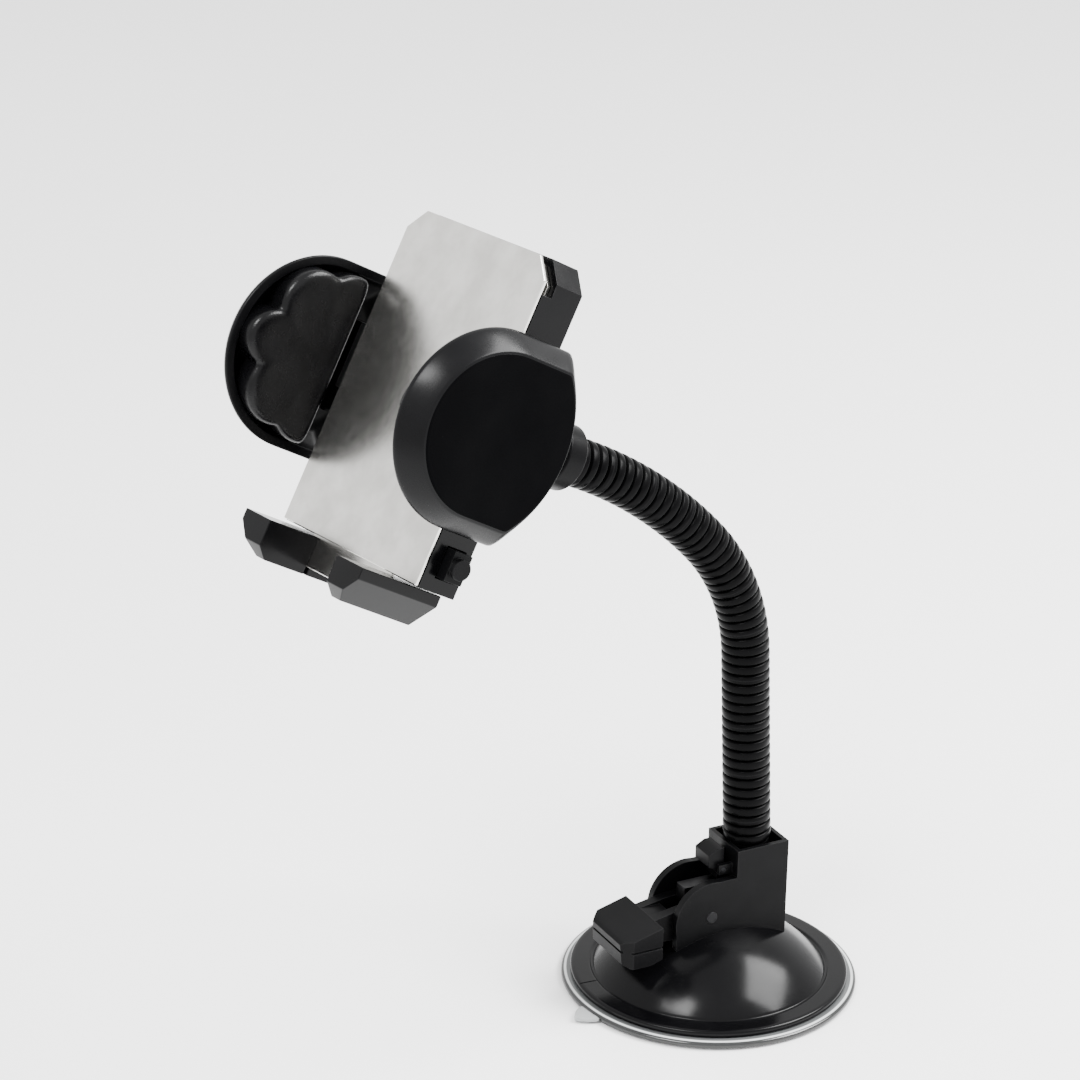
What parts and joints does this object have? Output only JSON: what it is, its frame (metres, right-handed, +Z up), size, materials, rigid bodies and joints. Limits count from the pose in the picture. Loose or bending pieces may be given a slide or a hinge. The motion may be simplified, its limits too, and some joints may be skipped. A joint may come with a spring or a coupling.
{
  "type": "car phone mount",
  "caption": "Suction-cup mount with a bendable gooseneck, a ball joint and a cradle that grips a phone between padded side plates above hooked feet.",
  "frame": {"origin": "centre of the suction cup's flat underside, where it meets the surface", "axes": "+Z up out of the suction cup, -Y towards the front, where the cradle faces, +X to the held phone's right"},
  "size_m": [0.0853, 0.1564, 0.2045],
  "materials": {
    "cup": "soft translucent plastic",
    "gloss_black": "polished",
    "satin_black": "fine matt texture",
    "sleeve": "satin ribs",
    "plate": "nickel plated",
    "steel": "turned",
    "dark_metal": "blackened",
    "nylon": "moulded",
    "foam": "closed-cell foam"
  },
  "bodies": {
    "base": {"suction_cup": "cup", "base_cover": "gloss_black", "tower": "satin_black", "lever_pin": "dark_metal", "tower_screws": "steel", "latch_pin": "dark_metal", "neck_plug": "satin_black"},
    "pull_rod": {"pull_rod": "dark_metal"},
    "lever": {"lock_lever": "satin_black"},
    "latch": {"socket_latch": "satin_black"},
    "neck_link_1": {"neck_sleeve_1": "sleeve", "neck_core_1": "steel"},
    "neck_link_2": {"neck_sleeve_2": "sleeve", "neck_core_2": "steel"},
    "neck_link_3": {"neck_sleeve_3": "sleeve", "neck_core_3": "steel"},
    "neck_link_4": {"neck_sleeve_4": "sleeve", "neck_core_4": "steel"},
    "neck_link_5": {"neck_sleeve_5": "sleeve", "neck_core_5": "steel"},
    "neck_link_6": {"neck_sleeve_6": "sleeve", "neck_core_6": "steel"},
    "neck_link_7": {"neck_sleeve_7": "sleeve", "neck_core_7": "steel"},
    "neck_link_8": {"neck_sleeve_8": "sleeve", "neck_core_8": "steel"},
    "neck_link_9": {"neck_sleeve_9": "sleeve", "neck_core_9": "steel"},
    "neck_link_10": {"neck_sleeve_10": "sleeve", "neck_core_10": "steel", "neck_collar": "satin_black", "ball_stud": "steel"},
    "seat": {"ball_seat": "nylon"},
    "swivel": {"ball_housing": "satin_black", "spin_screw": "steel"},
    "nut": {"clamp_nut": "satin_black"},
    "cradle": {"cradle_back": "gloss_black", "inner_plate": "plate", "face_plate": "plate", "cradle_screws": "steel", "pinion_post": "steel", "opening_spring": "steel", "pawl_post": "steel", "button_spring": "steel"},
    "pinion": {"pinion": "nylon"},
    "arm_left": {"arm_left": "satin_black", "grip_left": "satin_black", "pad_left": "foam", "grip_screws_left": "steel"},
    "arm_right": {"arm_right": "satin_black", "grip_right": "satin_black", "pad_right": "foam", "grip_screws_right": "steel"},
    "pawl": {"pawl": "nylon"},
    "button": {"release_button": "satin_black"},
    "feet": {"foot_slide": "plate", "foot_left": "gloss_black", "foot_right": "gloss_black"}
  },
  "joints": [
    {"name": "lever_pivot", "type": "hinge", "parent": "base", "child": "lever", "pos_m": [0, -0.004, 0.0205], "axis": [-1, 0, 0], "range_deg": [0, 80]},
    {"name": "rod_lift", "type": "slide", "parent": "base", "child": "pull_rod", "axis": [0, 0, 1], "range_m": [-0.00125, 0]},
    {"name": "latch_press", "type": "hinge", "parent": "base", "child": "latch", "pos_m": [0, 0.0004, 0.0315], "axis": [-1, 0, 0], "range_deg": [0, 16], "stiffness_Nm_per_rad": 0.05},
    {"name": "bend_1", "type": "hinge", "parent": "base", "child": "neck_link_1", "pos_m": [0, 0.0094, 0.037], "axis": [1, 0, 0], "range_deg": [-8, 8]},
    {"name": "sway_1", "type": "hinge", "parent": "neck_link_1", "child": "neck_link_2", "pos_m": [0, 0.00871, 0.0498], "axis": [0, 0.9985, 0.0541], "range_deg": [-8, 8]},
    {"name": "bend_2", "type": "hinge", "parent": "neck_link_2", "child": "neck_link_3", "pos_m": [0, 0.00801, 0.0626], "axis": [1, 0, 0], "range_deg": [-8, 8]},
    {"name": "sway_2", "type": "hinge", "parent": "neck_link_3", "child": "neck_link_4", "pos_m": [0, 0.00732, 0.0754], "axis": [0, 0.9985, 0.0553], "range_deg": [-8, 8]},
    {"name": "bend_3", "type": "hinge", "parent": "neck_link_4", "child": "neck_link_5", "pos_m": [0, 0.00661, 0.0882], "axis": [1, 0, 0], "range_deg": [-8, 8]},
    {"name": "sway_3", "type": "hinge", "parent": "neck_link_5", "child": "neck_link_6", "pos_m": [0, 0.00401, 0.10072], "axis": [0, 0.8977, 0.4406], "range_deg": [-8, 8]},
    {"name": "bend_4", "type": "hinge", "parent": "neck_link_6", "child": "neck_link_7", "pos_m": [0, -0.00162, 0.1122], "axis": [1, 0, 0], "range_deg": [-8, 8]},
    {"name": "sway_4", "type": "hinge", "parent": "neck_link_7", "child": "neck_link_8", "pos_m": [0, -0.00984, 0.12201], "axis": [0, 0.6691, 0.7432], "range_deg": [-8, 8]},
    {"name": "bend_5", "type": "hinge", "parent": "neck_link_8", "child": "neck_link_9", "pos_m": [0, -0.01937, 0.13058], "axis": [1, 0, 0], "range_deg": [-8, 8]},
    {"name": "sway_5", "type": "hinge", "parent": "neck_link_9", "child": "neck_link_10", "pos_m": [0, -0.02981, 0.13801], "axis": [0, 0.483, 0.8756], "range_deg": [-8, 8]},
    {"name": "ball_tilt", "type": "hinge", "parent": "neck_link_10", "child": "seat", "pos_m": [0.0017, -0.06488, 0.15694], "axis": [0.9902, 0.1277, 0.0569], "range_deg": [-18, 18]},
    {"name": "ball_pan", "type": "hinge", "parent": "seat", "child": "swivel", "pos_m": [0.0017, -0.06488, 0.15694], "axis": [-0.1122, 0.4828, 0.8685], "range_deg": [-18, 18]},
    {"name": "nut_turn", "type": "hinge", "parent": "swivel", "child": "nut", "pos_m": [0.0017, -0.06488, 0.15694], "axis": [-0.0834, 0.8663, -0.4924], "range_deg": [-30, 30]},
    {"name": "cradle_spin", "type": "hinge", "parent": "swivel", "child": "cradle", "pos_m": [0.0017, -0.06488, 0.15694], "axis": [-0.0834, 0.8663, -0.4924], "continuous": true},
    {"name": "arm_right_slide", "type": "slide", "parent": "cradle", "child": "arm_right", "axis": [0.9902, 0.1277, 0.0569], "range_m": [-0.0055, 0.0165]},
    {"name": "arm_left_slide", "type": "slide", "parent": "cradle", "child": "arm_left", "axis": [-0.9902, -0.1277, -0.0569], "range_m": [-0.0055, 0.0165]},
    {"name": "pinion_spin", "type": "hinge", "parent": "cradle", "child": "pinion", "pos_m": [0.0017, -0.06488, 0.15694], "axis": [-0.0834, 0.8663, -0.4924], "range_deg": [-79.5, 237]},
    {"name": "button_press", "type": "slide", "parent": "cradle", "child": "button", "axis": [-0.9902, -0.1277, -0.0569], "range_m": [0, 0.002], "stiffness_N_per_m": 300},
    {"name": "pawl_swing", "type": "hinge", "parent": "cradle", "child": "pawl", "pos_m": [0.0132, -0.08839, 0.15019], "axis": [-0.0834, 0.8663, -0.4924], "range_deg": [0, 18.4]},
    {"name": "foot_drop", "type": "slide", "parent": "cradle", "child": "feet", "axis": [0.1122, -0.4828, -0.8685], "range_m": [0, 0.02]}
  ],
  "couplings": [
    {"joint": "rod_lift", "follows": "lever_pivot", "m_per_rad": -0.000888},
    {"joint": "bend_2", "follows": "bend_1", "ratio": 1},
    {"joint": "sway_2", "follows": "sway_1", "ratio": 1},
    {"joint": "bend_3", "follows": "bend_1", "ratio": 1},
    {"joint": "sway_3", "follows": "sway_1", "ratio": 1},
    {"joint": "bend_4", "follows": "bend_1", "ratio": 1},
    {"joint": "sway_4", "follows": "sway_1", "ratio": 1},
    {"joint": "bend_5", "follows": "bend_1", "ratio": 1},
    {"joint": "sway_5", "follows": "sway_1", "ratio": 1},
    {"joint": "arm_left_slide", "follows": "arm_right_slide", "ratio": 1},
    {"joint": "pinion_spin", "follows": "arm_right_slide", "rad_per_m": 250},
    {"joint": "pawl_swing", "follows": "button_press", "rad_per_m": 160}
  ]
}
